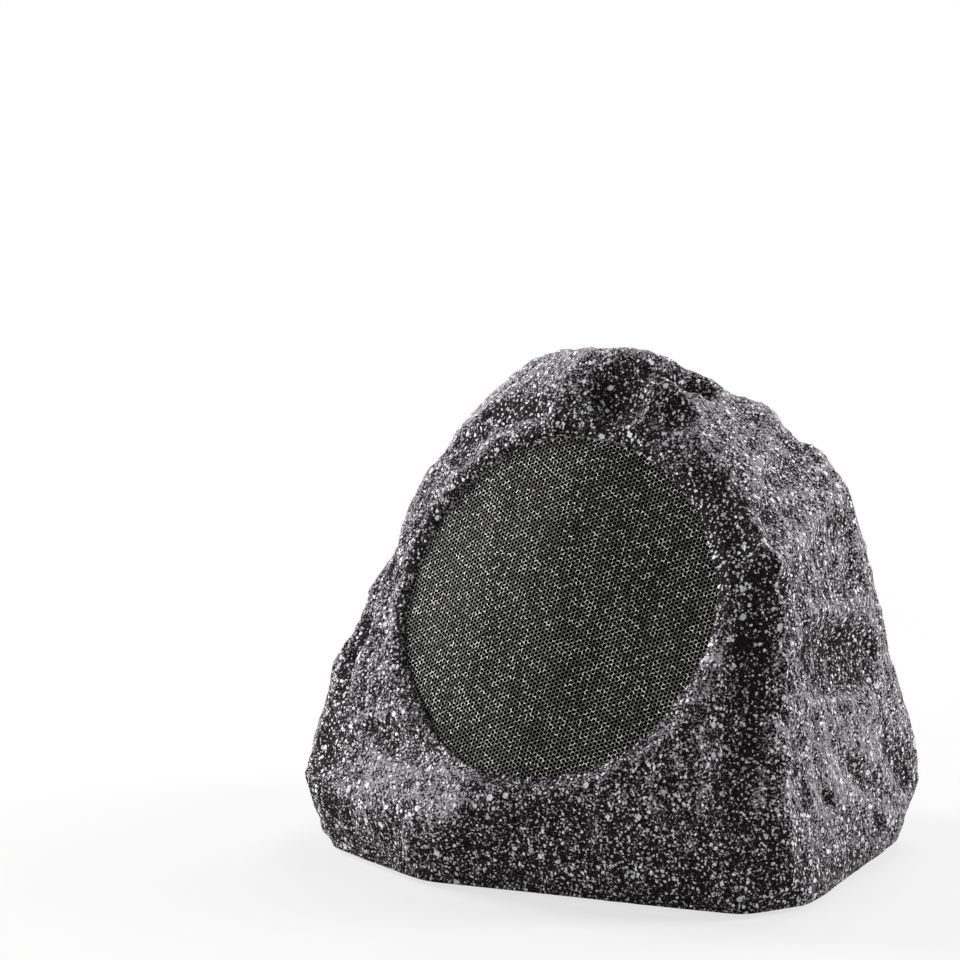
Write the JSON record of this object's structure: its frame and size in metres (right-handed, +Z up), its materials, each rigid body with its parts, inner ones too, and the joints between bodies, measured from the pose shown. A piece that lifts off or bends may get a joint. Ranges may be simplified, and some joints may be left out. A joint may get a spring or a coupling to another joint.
{
  "type": "rock shaped garden speaker",
  "caption": "Hollow rock shaped outdoor loudspeaker with a round bent perforated grille over a coaxial driver, on a screwed base plate with rubber feet.",
  "frame": {"origin": "on the ground under the middle of the rock's outline", "axes": "+Z up, the grille faces -Y and up, +X to the right of someone looking at the grille"},
  "size_m": [0.2768, 0.2031, 0.2386],
  "materials": {
    "rock_resin": "rough speckled charcoal, stone look",
    "grille_steel": "black paint with fine speckle",
    "scrim_cloth": "black open cloth",
    "basket_steel": "black satin",
    "seal_foam": "matt black foam",
    "surround_rubber": "satin black",
    "cone_paper": "coated dark grey",
    "spider_cloth": "treated cotton, amber",
    "coil_former": "bare foil",
    "copper_wire": "lacquered copper",
    "motor_steel": "zinc plated",
    "ferrite": "sintered, dull",
    "tweeter_plastic": "fine texture",
    "dome_silk": "coated silk",
    "terminal_board": "phenolic sheet",
    "screw_steel": "black oxide",
    "base_plastic": "smooth grey",
    "foot_rubber": "matt",
    "grommet_rubber": "matt",
    "board_laminate": "green solder mask",
    "capacitor_film": "yellow sleeve",
    "resistor_cement": "white cement",
    "terminal_block": "green"
  },
  "bodies": {
    "cabinet": {"rock_shell": "rock_resin", "speaker_grille": "grille_steel", "grille_scrim": "scrim_cloth", "driver_basket": "basket_steel", "driver_gasket": "seal_foam", "driver_screws": "screw_steel", "driver_terminals": "terminal_board", "top_plate": "motor_steel", "ring_magnet": "ferrite", "pole_yoke": "motor_steel", "woofer_surround": "surround_rubber", "woofer_spider": "spider_cloth", "tweeter_post": "tweeter_plastic", "tweeter_housing": "tweeter_plastic", "tweeter_magnet": "ferrite", "tweeter_faceplate": "tweeter_plastic", "tweeter_dome": "dome_silk", "base_plate": "base_plastic", "base_gasket": "seal_foam", "base_screws": "screw_steel", "rubber_feet": "foot_rubber", "cable_grommet": "grommet_rubber", "crossover_board": "board_laminate", "board_screws": "screw_steel", "crossover_coil": "copper_wire", "crossover_capacitor": "capacitor_film", "crossover_resistor": "resistor_cement", "input_terminals": "terminal_block"},
    "cone": {"woofer_cone": "cone_paper", "voice_coil_former": "coil_former", "voice_coil_winding": "copper_wire"}
  },
  "joints": [
    {"name": "cone_travel", "type": "slide", "parent": "cabinet", "child": "cone", "axis": [-0.17, -0.8746, 0.454], "range_m": [-0.003, 0.003], "stiffness_N_per_m": 1500, "deforming": ["woofer_surround", "woofer_spider"]}
  ]
}
